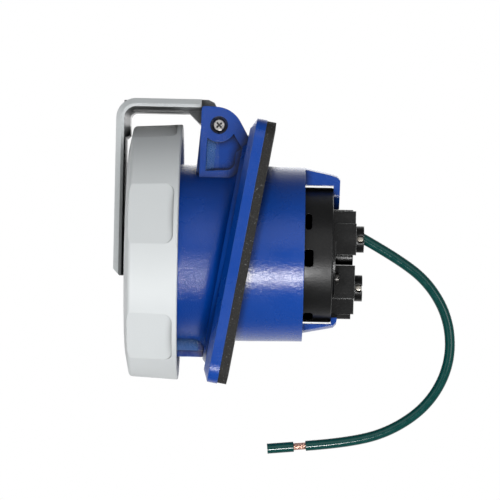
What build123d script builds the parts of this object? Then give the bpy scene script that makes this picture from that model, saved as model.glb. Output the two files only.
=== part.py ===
import os
from math import atan, atan2, cos, degrees, hypot, pi, radians, sin, sqrt, tan

from build123d import *

os.makedirs("parts", exist_ok=True)

# Pin and sleeve receptacle, two pole three wire, for panel mounting.
# The barrel axis is X, with the twist cap toward -X and the wire terminals toward +X.
# Z is up. The origin is where the barrel axis meets the rear face of the flange gasket,
# which is the face that lies on the panel.

# Driving dimensions: flange and gasket
flange_tilt = 9.7            # degrees that the panel plane leans back from the barrel axis normal
flange_size = 139.0
flange_corner_r = 10.0
flange_rim_t = 5.3
flange_bevel_t = 2.8
flange_bevel_w = 6.0
gasket_t = 4.7
gasket_inset = 0.5
plateau_edge = 0.7           # flat of the flange that is left around the plateau
plateau_t = 2.3
plateau_slope = 2.4
mount_edge = 12.5            # from the middle of a mounting hole to the flange edge
mount_hole_r = 2.8
mount_seat_r = 5.2
mount_seat_depth = 3.0

# Driving dimensions: collar and barrel of the housing
collar_r = 46.9
collar_wall = 3.3
collar_front_x = -60.5
socket_floor_x = -12.0
socket_floor_t = 3.5
barrel_rear_x = 27.7
barrel_draft_r = 0.4
insert_tube_wall = 2.7
insert_tube_rear_x = 22.0
neck_fillet_r = 6.0
barrel_rib_count = 8
barrel_rib_t = 1.6

# Driving dimensions: keyway ridge under the collar
key_half_w = 4.0
key_depth = 5.0
key_end_x = -20.0
ridge_wall = 2.0
ridge_setback = 8.5
ridge_floor_t = 3.7
ridge_foot_t = 3.5
ridge_foot_half_w = 4.4

# Driving dimensions: hinge
pin_x = -18.5
pin_rise = 20.6              # hinge axis above the collar
pin_r = 2.0
pin_fit = 0.06
ear_outer_y = 24.8
ear_t = 9.3
ear_front = 9.7
ear_rise = 10.0
ear_back_x = 7.3
ear_back_drop = 6.5
ear_top_fall = 0.8
ear_corner_r = 1.8
ear_back_r = 15.0
ear_front_lean = 0.4
ear_root_depth = 6.0
ear_panel_depth = 2.2
ear_panel_left = [(6.0, 4.0), (6.7, 24.3)]    # in front of the hinge axis and below it
ear_panel_right = [(8.5, 23.5), (9.2, 14.4), (12.3, 12.0), (7.4, 3.8)]    # behind it and below it
ear_panel_foot_r = 4.5
ear_panel_tip_r = 0.8
ear_panel_arc_r = 9.0
ear_strip_depth = 0.9        # depth of the panel's slanted strip at its front edge
ear_strip_front = 6.4
ear_strip_ends = [(4.0, 0.8), (25.0, 2.2)]   # below the hinge axis, and where the strip meets the floor
ear_web_lean = 2.4
ear_web_half_w = 21.0
screw_head_r = 3.0
screw_head_t = 2.0
screw_head_edge_r = 0.5
cross_half = 1.9
cross_w = 0.8
cross_depth = 1.2
cross_turn = 42.0
screw_seat_r = 4.7
screw_seat_depth = 4.5
nut_across = 8.0
nut_t = 4.0

# Driving dimensions: bayonet of collar and cap
collar_lug_rise = 7.9
collar_lug_setback = 5.5
collar_lug_t = 4.5
collar_lug_arc = 28.0
cap_lug_clear = 6.1          # from the collar to the inner side of the cap's lugs
cap_lug_t = 4.0
cap_lug_arc = 22.0
cap_lug_rest = 50.0          # degrees from the bottom while the cap is unlocked
lug_play = 0.5

# Driving dimensions: twist cap
cap_overhang = 5.7           # cap front in front of the collar front
cap_length = 28.2
cap_wall = 6.0
cap_draft = 3.0
cap_room = 15.3              # from the collar to the cap's inner wall
cap_floor_t = 2.8
cap_shoulder_w = 12.0        # the front falls away toward its rim from here
cap_shoulder_drop = 2.4
cap_shoulder_r = 12.0
cap_corner_r = 2.0
cap_edge_r = 0.7
facet_count = 6
facet_first = 72.5           # degrees from the top, toward the near side
facet_depth = 2.0
facet_setback = 2.6
facet_corner_r = 5.0
cap_rib_count = 12
cap_rib_t = 1.6
cap_rib_depth = 2.2
seal_outer_r = 50.0
seal_width = 8.0

# Driving dimensions: cap arm
arm_start = 9.5              # in front of the hinge axis
arm_rise = 12.9              # arm's top above the cap
arm_face_gap = 6.9           # arm's face in front of the cap
arm_half_w = 22.5
arm_edge_t = 4.4
arm_crown_t = 7.3
arm_crown_half_w = 9.0
arm_bevel = 2.8
arm_outer_r = 10.6
arm_bottom_z = -13.0
arm_foot_chamfer = 3.5
arm_leg_t = 5.0
arm_crown_drop = 6.2         # the crown inside the leg ends this far below the cap's top
knuckle_half_w = 15.0
knuckle_r = 9.6
hub_r = 14.0
pivot_r = 4.0
pivot_head_r = 7.5
pivot_head_t = 2.2
pivot_washer_r = 9.0
pivot_washer_t = 1.5
pivot_nut_across = 13.0
pivot_nut_t = 3.2
thrust_washer_t = 0.7
running_gap = 0.3

# Driving dimensions: retaining hooks behind the barrel
hook_half_w = 11.0           # to the flat side of the hook and of the catch
hook_arc = 38.0
hook_gap = 0.9               # from the drum to the hook's flat underside
hook_fall = 2.8              # from the barrel's rear to the hook's knee
hook_knee_x = 41.6
hook_rear_x = 46.4
hook_nose = 2.6
hook_grip = 10.1             # how far the hook reaches in over the drum's rear
catch_arc = 40.0
catch_gap = 0.7
catch_root_fall = 4.5
catch_fall = 2.7
catch_grip = 1.1

# Driving dimensions: contact insert
plug_sleeve_space = 7.8      # between the carrier and the collar's bore
insert_play = 0.3
carrier_setback = 3.5
carrier_wall = 6.0
carrier_skirt_wall = 2.8
carrier_rear_x = 8.0
contact_inset = 18.4         # from the carrier's outside to the middles of the contacts
ground_pin_r = 5.0
line_pin_r = 4.0
pin_entry_play = 0.6
sleeve_wall = 1.8
sleeve_bore_play = 0.05
sleeve_seat_play = 0.2
sleeve_slot_w = 1.2
sleeve_slot_end_x = -26.0
sleeve_collar_x = -10.0
sleeve_collar_t = 3.0
sleeve_collar_r = 8.3
sleeve_shank_r = 5.4
spring_t = 0.6
spring_w = 7.0
spring_x = -46.0
socket_tube_r = 9.9

# Driving dimensions: rear drum, towers and terminals
drum_edge_r = 0.8
drum_step = 0.2              # drum radius over the carrier's
drum_rear_x = 42.9
drum_wall_t = 4.0
cover_plate_r = 23.6
cover_plate_t = 1.6
tower_rear_x = 55.3
tower_half_w = 7.2
tower_wall = 1.2
tower_step = 0.4
tower_inner = {1: 8.5, -1: 12.1}   # from the wire's middle to the inner side, upper and lower towers
tower_main = {1: 8.3, -1: 5.6}     # to the outer end of the main part
tower_top = {1: 14.8, -1: 13.9}    # to the end of the chimney over the clamp screw
tower_lip = {1: 15.4, -1: 16.5}    # to the end of its lip
hub_post_r = 5.2
hub_post_x = 54.1
boss_r = 7.05
boss_rear_x = 59.4
boss_bore_r = 5.2
boss_window_r = 2.2
terminal_front_x = 30.0
terminal_rear_x = 52.5
terminal_half_w = 5.7
terminal_inner_h = 6.5
terminal_outer_h = {1: 6.5, -1: 4.2}   # the lower tower is less deep outside its wire
wire_plate_half_w = 1.7
wire_plate_half_length = 2.4
clamp_screw_length = 8.0
wire_tube_end_x = 58.9
boss_window_x = 57.6
wire_bore_r = 3.6
wire_tube_r = 4.9
clamp_screw_r = 3.0
clamp_screw_x = 48.0
clamp_socket_r = 1.9
wire_plate_t = 1.2
cover_screw_r = 1.6
cover_screw_head_r = 3.0
cover_screw_head_t = 2.0
cover_screw_length = 26.0
post_r = 3.6
cover_screw_places = [(0, 15.5), (16, -12), (-16, -12)]
drum_slot_depth = 3.2
drum_slots = [(28.1, 31.6, 13.2, 21.5), (27.8, 32.6, -6.3, 2.8), (27.9, 33.2, -34.6, -30.8)]

# Driving dimensions: green ground lead
lead_r = 2.75
strand_r = 1.9
bare_length = 6.4
slug_length = 14.0
wire_end_x = 40.0
wire_stop_x = 56.5
lead_bend = 0.45             # share of the shorter run that each bend takes
lead_points = [              # X and Z, in the plane of the ground contact
    (58.0, 9.7),
    (77.0, -0.5),
    (95.0, -14.0),
    (106.0, -34.0),
    (106.5, -57.0),
    (96.0, -78.0),
    (76.5, -92.5),
    (54.0, -99.2),
    (30.8, -101.4),
]

# Sizes that follow from the ones above
flange_t = flange_rim_t + flange_bevel_t
plateau_r = flange_size / 2 - flange_bevel_w - plateau_slope - plateau_edge
mount_spacing = flange_size - 2 * mount_edge
collar_bore_r = collar_r - collar_wall
barrel_rear_r = collar_r - barrel_draft_r
insert_r = collar_bore_r - plug_sleeve_space
insert_bore_r = insert_r + insert_play
insert_tube_r = insert_bore_r + insert_tube_wall
carrier_front_x = collar_front_x + carrier_setback
ridge_half_w = key_half_w + ridge_wall
ridge_front_x = collar_front_x + ridge_setback
ridge_z = collar_bore_r + key_depth + ridge_floor_t
ridge_foot_z = ridge_z + ridge_foot_t
pin_z = collar_r + pin_rise
ear_front_x = pin_x - ear_front
ear_top_z = pin_z + ear_rise
ear_back_z = pin_z - ear_back_drop
ear_inner_y = ear_outer_y - ear_t
collar_lug_r = collar_r + collar_lug_rise
collar_lug_x = collar_front_x + collar_lug_setback
cap_front_x = collar_front_x - cap_overhang
cap_rim_x = cap_front_x + cap_length
cap_bore_r = collar_r + cap_room
cap_rim_r = cap_bore_r + cap_wall
cap_edge_x = cap_front_x + cap_shoulder_drop
cap_edge_out_r = cap_rim_r - (cap_rim_x - cap_edge_x) * tan(radians(cap_draft))
cap_shoulder_in_r = cap_edge_out_r - cap_shoulder_w
cap_floor_x = cap_front_x + cap_floor_t
facet_end_x = cap_rim_x - facet_setback
cap_lug_r = collar_r + cap_lug_clear
cap_lug_x = collar_lug_x + collar_lug_t + lug_play
arm_start_x = pin_x - arm_start
arm_top_z = cap_rim_r + arm_rise
arm_face_x = cap_front_x - arm_face_gap
arm_rib_end_z = cap_rim_r - arm_crown_drop
hub_face_x = cap_front_x - running_gap - thrust_washer_t
drum_r = insert_r + drum_step
drum_front_x = carrier_rear_x
hook_gap_r = drum_r + hook_gap
hook_knee_r = barrel_rear_r - hook_fall
hook_shoulder_r = hook_knee_r - hook_nose
hook_tip_r = drum_r - hook_grip
catch_gap_r = drum_r + catch_gap
catch_root_r = barrel_rear_r - catch_root_fall
catch_knee_r = catch_root_r - catch_fall
catch_lip_r = drum_r - catch_grip
contact_circle_r = insert_r - contact_inset
upper_contact_y = contact_circle_r * cos(radians(30))

# The three contacts: name, pin radius, place across the axis, and the way that its screw faces
contacts = {
    "ground": (ground_pin_r, -upper_contact_y, contact_circle_r / 2, 1),
    "line_1": (line_pin_r, upper_contact_y, contact_circle_r / 2, 1),
    "line_2": (line_pin_r, 0.0, -contact_circle_r, -1),
}

# How far each wire plate stands off the middle of its wire bore
plate_lifts = {"ground": strand_r, "line_1": wire_bore_r, "line_2": wire_bore_r}

flange_plane = Plane(
    origin=(0, 0, 0),
    x_dir=(0, -1, 0),
    z_dir=(-cos(radians(flange_tilt)), 0, sin(radians(flange_tilt))),
)


def across(x):
    """Plane square to the barrel axis: local x is Y, local y is Z, facing +X."""
    return Plane(origin=(x, 0, 0), x_dir=(0, 1, 0), z_dir=(1, 0, 0))


def along(angle):
    """Plane through the barrel axis: local x is X, local y points out at the angle from the top."""
    turn = radians(angle)
    return Plane(origin=(0, 0, 0), x_dir=(1, 0, 0), z_dir=(0, -cos(turn), sin(turn)))


def face_x(n, z):
    """X of the plane parallel to the panel, n in front of the gasket's rear, at height z."""
    return (z * sin(radians(flange_tilt)) - n) / cos(radians(flange_tilt))


def finish(piece, name):
    """Name a finished piece and write its STEP file."""
    piece.part.label = name
    export_step(piece.part, f"parts/{name}.step")


def profile(plane, points, radii=None):
    """A closed outline on a plane, with a radius for each corner where one is given."""
    with BuildSketch(plane) as outline:
        with BuildLine():
            if radii is None:
                Polyline(*points, close=True)
            else:
                FilletPolyline(*points, radius=radii, close=True)
        make_face()
    return outline.sketch


def sector(points, centre, arc, mode=Mode.ADD):
    """Turn an outline in the axis plane through an arc about the barrel axis."""
    revolve(profile(along(centre + arc / 2), points), axis=Axis.X, revolution_arc=arc, mode=mode)


def block(x0, x1, y0, y1, z0, z1, mode=Mode.ADD):
    """A block given by its six faces."""
    with BuildSketch(across(x0)) as section:
        with Locations(((y0 + y1) / 2, (z0 + z1) / 2)):
            Rectangle(abs(y1 - y0), abs(z1 - z0))
    extrude(section.sketch, amount=x1 - x0, mode=mode)


def rod(x0, x1, r, y=0.0, z=0.0, mode=Mode.ADD):
    """A round bar or bore parallel to the barrel axis."""
    with BuildSketch(across(x0)) as section:
        with Locations((y, z)):
            Circle(r)
    extrude(section.sketch, amount=x1 - x0, mode=mode)


def cross_rod(x, z, r, y0, y1, mode=Mode.ADD):
    """A round bar or bore parallel to the hinge."""
    with BuildSketch(Plane.XZ.offset(-y0)) as section:
        with Locations((x, z)):
            Circle(r)
    extrude(section.sketch, amount=y0 - y1, mode=mode)


# Housing: one moulding with flange, collar, barrel, hinge ears, hooks and bayonet lugs
ear_foot_z = collar_bore_r - ear_root_depth
ear_points = [
    (ear_front_x - ear_front_lean, ear_foot_z),
    (ear_front_x + ear_front_lean, ear_top_z),
    (pin_x + ear_back_x, ear_top_z - ear_top_fall),
    (face_x(gasket_t + flange_t, ear_back_z), ear_back_z),
    (face_x(gasket_t + flange_rim_t, ear_back_z), ear_back_z),
    (face_x(gasket_t + flange_rim_t, ear_foot_z), ear_foot_z),
]
ear_radii = [0, ear_corner_r, ear_back_r, 0, 0, 0]
ear_panel_points = [(pin_x - front, pin_z - below) for front, below in ear_panel_left]
ear_panel_points += [(pin_x + back, pin_z - below) for back, below in ear_panel_right]
ear_panel_radii = [0, 0, ear_panel_foot_r, 0, ear_panel_tip_r, 0]
shell_points = [
    (collar_front_x, collar_bore_r),
    (collar_front_x, collar_r),
    (0, collar_r),
    (barrel_rear_x, barrel_rear_r),
    (barrel_rear_x, collar_bore_r),
    (socket_floor_x + socket_floor_t, collar_bore_r),
    (socket_floor_x + socket_floor_t, insert_tube_r),
    (insert_tube_rear_x, insert_tube_r),
    (insert_tube_rear_x, insert_bore_r),
    (socket_floor_x, insert_bore_r),
    (socket_floor_x, collar_bore_r),
]
hook_root_x = insert_tube_rear_x - 2
hook_catch_x = drum_rear_x
hook_points = [
    (hook_root_x, hook_gap_r),
    (hook_root_x, barrel_rear_r - 0.4),
    (barrel_rear_x, barrel_rear_r),
    (hook_knee_x, hook_knee_r),
    (hook_rear_x - 1.6, hook_knee_r - 1.0),
    (hook_rear_x, hook_shoulder_r),
    (hook_rear_x - 0.3, hook_tip_r),
    (hook_catch_x, hook_tip_r),
    (hook_catch_x, hook_gap_r),
]
catch_points = [
    (hook_root_x, catch_gap_r),
    (hook_root_x, catch_root_r + 1),
    (barrel_rear_x, catch_root_r),
    (hook_knee_x, catch_knee_r),
    (hook_rear_x - 2.2, catch_knee_r - 0.5),
    (hook_rear_x - 0.6, catch_knee_r - 2.2),
    (hook_rear_x - 0.2, catch_lip_r),
    (hook_catch_x, catch_lip_r),
    (hook_catch_x, catch_gap_r),
]
collar_lug_points = [
    (collar_lug_x, collar_bore_r + 1),
    (collar_lug_x + 1.0, collar_lug_r),
    (collar_lug_x + collar_lug_t, collar_lug_r),
    (collar_lug_x + collar_lug_t, collar_bore_r + 1),
]
with BuildPart() as housing:
    with BuildSketch(flange_plane.offset(gasket_t)):
        RectangleRounded(flange_size, flange_size, flange_corner_r)
    extrude(amount=flange_rim_t)
    with BuildSketch(flange_plane.offset(gasket_t + flange_rim_t)):
        RectangleRounded(flange_size, flange_size, flange_corner_r)
    extrude(amount=flange_bevel_t, taper=degrees(atan(flange_bevel_w / flange_bevel_t)))
    with BuildSketch(flange_plane.offset(gasket_t + flange_t)):
        Circle(plateau_r + plateau_slope)
    extrude(amount=plateau_t, taper=degrees(atan(plateau_slope / plateau_t)))
    rod(collar_front_x, barrel_rear_x, collar_bore_r + 1, mode=Mode.SUBTRACT)
    revolve(profile(along(0), shell_points), axis=Axis.X)
    fillet(housing.edges().filter_by(GeomType.ELLIPSE).group_by(Axis.X)[0], neck_fillet_r)

    # Two hinge ears on the collar, each with a shallow sunk panel below the screw
    for start in (ear_inner_y, -ear_outer_y):
        extrude(profile(Plane.XZ.offset(start), ear_points, ear_radii), amount=ear_t)
    for side in (-1, 1):
        ear_web_points = [
            (ear_front_x - ear_web_lean, ear_foot_z),
            (ear_front_x, pin_z - 2),
            (ear_front_x + ear_web_lean, pin_z - 2),
            (ear_front_x + ear_web_lean, ear_foot_z),
        ]
        web_y = -ear_web_half_w if side > 0 else ear_inner_y
        extrude(profile(Plane.XZ.offset(web_y), ear_web_points), amount=ear_web_half_w - ear_inner_y)

    # Keyway ridge under the collar, and its foot
    ridge_rear_x = face_x(gasket_t + flange_t / 2, -ridge_foot_z)
    block(ridge_front_x, ridge_rear_x, -ridge_half_w, ridge_half_w, -ridge_z, -collar_bore_r - 1)
    block(ridge_front_x, ridge_rear_x, -ridge_foot_half_w, ridge_foot_half_w, -ridge_foot_z, -ridge_z)

    # Bayonet lugs at the two sides of the collar
    for side in (90, 270):
        sector(collar_lug_points, side, collar_lug_arc)

    # Hooks over the rear drum, flat underneath, and ribs across the open rear of the barrel
    sector(hook_points, 0, hook_arc)
    sector(catch_points, 180, catch_arc)
    hook_cut_w = barrel_rear_r * sin(radians(catch_arc / 2)) + 1
    for side in (-1, 1):
        y0, y1 = side * hook_half_w, side * hook_cut_w
        block(barrel_rear_x, hook_rear_x + 1, y0, y1, -barrel_rear_r, barrel_rear_r, Mode.SUBTRACT)
    block(insert_tube_rear_x, hook_catch_x, -hook_cut_w, hook_cut_w, hook_tip_r, hook_gap_r, Mode.SUBTRACT)
    block(insert_tube_rear_x, hook_catch_x, -hook_cut_w, hook_cut_w, -hook_tip_r, -catch_gap_r, Mode.SUBTRACT)
    for rib in range(barrel_rib_count):
        turn = (rib + 0.5) * 360 / barrel_rib_count
        with BuildSketch(across(socket_floor_x + socket_floor_t)):
            with PolarLocations(0, 1, start_angle=turn):
                with Locations(((insert_tube_r + collar_bore_r) / 2, 0)):
                    Rectangle(collar_wall + collar_bore_r - insert_tube_r, barrel_rib_t)
        extrude(amount=hook_root_x - socket_floor_x - socket_floor_t)

    # Plug space inside the collar, the keyway, the screw holes and the panels
    rod(collar_front_x - 1, socket_floor_x, collar_bore_r, mode=Mode.SUBTRACT)
    key_foot_z = -collar_bore_r - key_depth
    block(collar_front_x - 1, key_end_x, -key_half_w, key_half_w, key_foot_z, -insert_tube_r, Mode.SUBTRACT)
    cross_rod(pin_x, pin_z, pin_r + pin_fit, ear_outer_y, -ear_outer_y, Mode.SUBTRACT)
    cross_rod(pin_x, pin_z, screw_seat_r, -ear_outer_y + screw_seat_depth, -ear_outer_y, Mode.SUBTRACT)
    with BuildSketch(Plane.XZ.offset(-ear_outer_y)):
        with Locations((pin_x, pin_z)):
            RegularPolygon(nut_across / 2 + 0.1, 6, major_radius=False)
    extrude(amount=nut_t, mode=Mode.SUBTRACT)
    for start in (ear_outer_y - ear_panel_depth, -ear_outer_y):
        with BuildSketch(Plane.XZ.offset(start)):
            with BuildLine():
                FilletPolyline(*ear_panel_points, radius=ear_panel_radii, close=True)
            make_face()
            with Locations((pin_x, pin_z)):
                Circle(ear_panel_arc_r, mode=Mode.SUBTRACT)
        extrude(amount=ear_panel_depth, mode=Mode.SUBTRACT)

    # Slanted strip along the front of each panel, deeper toward the panel's floor
    for side in (-1, 1):
        strip_ends = []
        for drop, meet in ear_strip_ends:
            slope = (ear_panel_depth - ear_strip_depth) / (ear_strip_front - meet)
            strip_points = [
                (pin_x - ear_strip_front - 1, side * (ear_outer_y - ear_strip_depth + slope)),
                (pin_x - meet + 1, side * (ear_outer_y - ear_panel_depth - slope)),
                (pin_x - ear_strip_front - 1, side * (ear_outer_y - ear_panel_depth - slope)),
            ]
            strip_ends.append(profile(Plane.XY.offset(pin_z - drop), strip_points))
        loft(strip_ends)
    with BuildSketch(flange_plane):
        with GridLocations(mount_spacing, mount_spacing, 2, 2):
            Circle(mount_hole_r)
    extrude(amount=gasket_t + flange_t + plateau_t, mode=Mode.SUBTRACT)
    with BuildSketch(flange_plane.offset(gasket_t + flange_t - mount_seat_depth)):
        with GridLocations(mount_spacing, mount_spacing, 2, 2):
            Circle(mount_seat_r)
    extrude(amount=mount_seat_depth + plateau_t, mode=Mode.SUBTRACT)
finish(housing, "housing")

# Flange gasket: a flat foam frame that is pressed between flange and panel
with BuildPart() as flange_gasket:
    with BuildSketch(flange_plane):
        RectangleRounded(flange_size - 2 * gasket_inset, flange_size - 2 * gasket_inset, flange_corner_r)
        with GridLocations(mount_spacing, mount_spacing, 2, 2):
            Circle(mount_hole_r, mode=Mode.SUBTRACT)
    extrude(amount=gasket_t)
    rod(-flange_size / 2, flange_size / 2, collar_r + running_gap, mode=Mode.SUBTRACT)
finish(flange_gasket, "flange_gasket")

# Twist cap: one moulding with six flats on its side and two bayonet lugs inside
cap_points = [
    (cap_front_x, 0),
    (cap_front_x, cap_shoulder_in_r),
    (cap_edge_x, cap_edge_out_r),
    (cap_rim_x, cap_rim_r),
    (cap_rim_x, cap_bore_r),
    (cap_floor_x + cap_shoulder_drop / 2, cap_bore_r),
    (cap_floor_x, cap_shoulder_in_r),
    (cap_floor_x, 0),
]
cap_radii = [0, cap_shoulder_r, cap_corner_r, cap_edge_r, cap_edge_r, 1.0, 0, 0]
cap_lug_points = [
    (cap_lug_x, cap_lug_r),
    (cap_lug_x, cap_bore_r + 1),
    (cap_lug_x + cap_lug_t, cap_bore_r + 1),
    (cap_lug_x + cap_lug_t, cap_lug_r),
]
facet_half_w = sqrt(cap_rim_r**2 - (cap_rim_r - facet_depth) ** 2)
facet_length = facet_end_x - cap_front_x + cap_floor_t
with BuildPart() as cap:
    with BuildSketch(along(0)):
        with BuildLine():
            FilletPolyline(*cap_points, radius=cap_radii, close=True)
        make_face()
    revolve(axis=Axis.X)
    for facet in range(facet_count):
        turn = radians(-facet_first + facet * 360 / facet_count)
        out = Vector(0, sin(turn), cos(turn))
        lean = radians(cap_draft)
        facet_r = cap_rim_r - facet_depth - (cap_rim_x - facet_end_x) * tan(lean)
        facet_plane = Plane(
            origin=Vector(facet_end_x, 0, 0) + out * facet_r,
            x_dir=Vector(-cos(lean), 0, 0) - out * sin(lean),
            z_dir=out * cos(lean) - Vector(sin(lean), 0, 0),
        )
        with BuildSketch(facet_plane):
            with Locations((facet_length, 0)):
                RectangleRounded(2 * facet_length, 2 * facet_half_w, facet_corner_r)
        extrude(amount=2 * facet_depth, mode=Mode.SUBTRACT)
    for lug in (180 - cap_lug_rest, 360 - cap_lug_rest):
        sector(cap_lug_points, lug, cap_lug_arc)
    for rib in range(cap_rib_count):
        with BuildSketch(across(cap_floor_x)):
            with PolarLocations(0, 1, start_angle=(rib + 0.5) * 360 / cap_rib_count):
                with Locations((cap_bore_r - cap_rib_depth / 2 + 0.5, 0)):
                    Rectangle(cap_rib_depth + 1, cap_rib_t)
        extrude(amount=cap_lug_x - cap_floor_x - cap_lug_t)
    rod(cap_front_x, cap_floor_x, pivot_r + running_gap / 2, mode=Mode.SUBTRACT)
finish(cap, "cap")

# Cap seal: a flat rubber ring glued to the cap floor, that meets the collar front
with BuildPart() as cap_seal:
    rod(cap_floor_x, collar_front_x - running_gap, seal_outer_r)
    rod(cap_floor_x, collar_front_x - running_gap, seal_outer_r - seal_width, mode=Mode.SUBTRACT)
finish(cap_seal, "cap_seal")

# Cap arm: one moulding from the hinge knuckle over the cap and down to its middle
arm_section_points = [
    (-arm_half_w + arm_bevel, 0),
    (arm_half_w - arm_bevel, 0),
    (arm_half_w, arm_bevel),
    (arm_half_w, arm_edge_t),
    (arm_crown_half_w, arm_crown_t),
    (-arm_crown_half_w, arm_crown_t),
    (-arm_half_w, arm_edge_t),
    (-arm_half_w, arm_bevel),
]
arm_start_plane = Plane(origin=(arm_start_x, 0, arm_top_z), x_dir=(0, 1, 0), z_dir=(-1, 0, 0))
leg_inner_x = arm_face_x + arm_leg_t
knuckle_top_points = [
    (leg_inner_x - 1, arm_top_z - 1),
    (arm_start_x, arm_top_z),
    (pin_x - 5.8, arm_top_z - 0.1),
    (pin_x - 2.8, arm_top_z - 1.5),
    (pin_x - 1.4, pin_z + knuckle_r * 0.99),
    (pin_x, pin_z),
    (pin_x - 10.7, pin_z + 1.0),
    (pin_x - 16.4, pin_z + 6.7),
    (leg_inner_x - 1, pin_z + 6.7),
]
with BuildPart() as cap_arm:
    with BuildLine() as arm_path:
        Polyline(
            (arm_start_x, 0, arm_top_z),
            (arm_face_x, 0, arm_top_z),
            (arm_face_x, 0, arm_bottom_z),
        )
        fillet(arm_path.vertices().group_by(Axis.X)[0].group_by(Axis.Z)[-1], arm_outer_r)
    with BuildSketch(arm_start_plane):
        with BuildLine():
            Polyline(*arm_section_points, close=True)
        make_face()
    sweep(path=arm_path.wire())
    # The leg is flat inside below the ramp, and the knuckle joins through a gusset
    with BuildSketch(Plane.XZ.offset(-arm_half_w)):
        with BuildLine():
            Polyline(
                (leg_inner_x, arm_bottom_z - 1),
                (leg_inner_x, arm_rib_end_z - 2),
                (leg_inner_x + arm_crown_t, arm_rib_end_z + 3),
                (leg_inner_x + arm_crown_t, arm_bottom_z - 1),
                close=True,
            )
        make_face()
    extrude(amount=2 * arm_half_w, mode=Mode.SUBTRACT)
    with BuildSketch(Plane.XZ.offset(-knuckle_half_w)):
        with BuildLine():
            Polyline(*knuckle_top_points, close=True)
        make_face()
        with Locations((pin_x, pin_z)):
            Circle(knuckle_r)
    extrude(amount=2 * knuckle_half_w)
    rod(leg_inner_x, hub_face_x, hub_r)
    chamfer(cap_arm.edges().filter_by(Axis.Y).group_by(Axis.Z)[0].sort_by(Axis.X)[0], arm_foot_chamfer)
    rod(arm_face_x, hub_face_x, pivot_r, mode=Mode.SUBTRACT)
    rod(arm_face_x, arm_face_x + pivot_head_t, pivot_head_r + 0.1, mode=Mode.SUBTRACT)
    cross_rod(pin_x, pin_z, pin_r + pin_fit, knuckle_half_w, -knuckle_half_w, Mode.SUBTRACT)
finish(cap_arm, "cap_arm")

# Cap pivot: stud, thrust washer between arm and cap, washer and nut inside the cap
washer_x = cap_floor_x + running_gap
pivot_nut_x = washer_x + pivot_washer_t
pivot_end_x = pivot_nut_x + pivot_nut_t
with BuildPart() as cap_pivot_stud:
    rod(arm_face_x, arm_face_x + pivot_head_t, pivot_head_r)
    rod(arm_face_x, pivot_end_x, pivot_r)
    with BuildSketch(across(arm_face_x)):
        RegularPolygon(3.0, 6, major_radius=False)
    extrude(amount=pivot_head_t, mode=Mode.SUBTRACT)
finish(cap_pivot_stud, "cap_pivot_stud")

with BuildPart() as pivot_thrust_washer:
    rod(hub_face_x, hub_face_x + thrust_washer_t, pivot_washer_r)
    rod(hub_face_x, hub_face_x + thrust_washer_t, pivot_r, mode=Mode.SUBTRACT)
finish(pivot_thrust_washer, "pivot_thrust_washer")

with BuildPart() as pivot_washer:
    rod(washer_x, pivot_nut_x, pivot_washer_r)
    rod(washer_x, pivot_nut_x, pivot_r, mode=Mode.SUBTRACT)
finish(pivot_washer, "pivot_washer")

with BuildPart() as pivot_nut:
    with BuildSketch(across(pivot_nut_x)):
        RegularPolygon(pivot_nut_across / 2, 6, major_radius=False)
    extrude(amount=pivot_nut_t)
    rod(pivot_nut_x, pivot_end_x, pivot_r, mode=Mode.SUBTRACT)
finish(pivot_nut, "pivot_nut")

# Hinge screw through both ears and the knuckle, and its nut in the far ear
screw_face_y = -ear_outer_y + screw_seat_depth
with BuildPart() as hinge_screw:
    cross_rod(pin_x, pin_z, screw_head_r, screw_face_y, screw_face_y - screw_head_t)
    cross_rod(pin_x, pin_z, pin_r, ear_outer_y, screw_face_y)
    fillet(hinge_screw.edges().filter_by(GeomType.CIRCLE).group_by(Axis.Y)[0], screw_head_edge_r)
    with BuildSketch(Plane.XZ.offset(-screw_face_y + screw_head_t - cross_depth)):
        with Locations((pin_x, pin_z)):
            Rectangle(2 * cross_half, cross_w, rotation=cross_turn)
            Rectangle(cross_w, 2 * cross_half, rotation=cross_turn)
    extrude(amount=cross_depth, mode=Mode.SUBTRACT)
finish(hinge_screw, "hinge_screw")

with BuildPart() as hinge_nut:
    with BuildSketch(Plane.XZ.offset(-ear_outer_y + 0.3)):
        with Locations((pin_x, pin_z)):
            RegularPolygon(nut_across / 2, 6, major_radius=False)
            Circle(pin_r, mode=Mode.SUBTRACT)
    extrude(amount=nut_t - 0.3)
finish(hinge_nut, "hinge_nut")

# Contact carrier: front face with three entries, skirt, and a tube for each contact sleeve
carrier_back_x = carrier_front_x + carrier_wall
with BuildPart() as contact_carrier:
    rod(carrier_front_x, carrier_rear_x, insert_r)
    rod(carrier_back_x, carrier_rear_x, insert_r - carrier_skirt_wall, mode=Mode.SUBTRACT)
    for name in contacts:
        rod(carrier_back_x - 1, sleeve_collar_x, socket_tube_r, *contacts[name][1:3])
    for name in contacts:
        contact_r, contact_y, contact_z, side = contacts[name]
        tube_bore_r = contact_r + sleeve_bore_play + sleeve_wall + spring_t + sleeve_seat_play
        rod(carrier_back_x, sleeve_collar_x, tube_bore_r, contact_y, contact_z, Mode.SUBTRACT)
        entry_r = contact_r + pin_entry_play
        rod(carrier_front_x, carrier_back_x, entry_r, contact_y, contact_z, Mode.SUBTRACT)
        mouth_end_x = carrier_front_x + 1
        rod(carrier_front_x, mouth_end_x, entry_r + pin_entry_play, contact_y, contact_z, Mode.SUBTRACT)
finish(contact_carrier, "contact_carrier")

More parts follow.
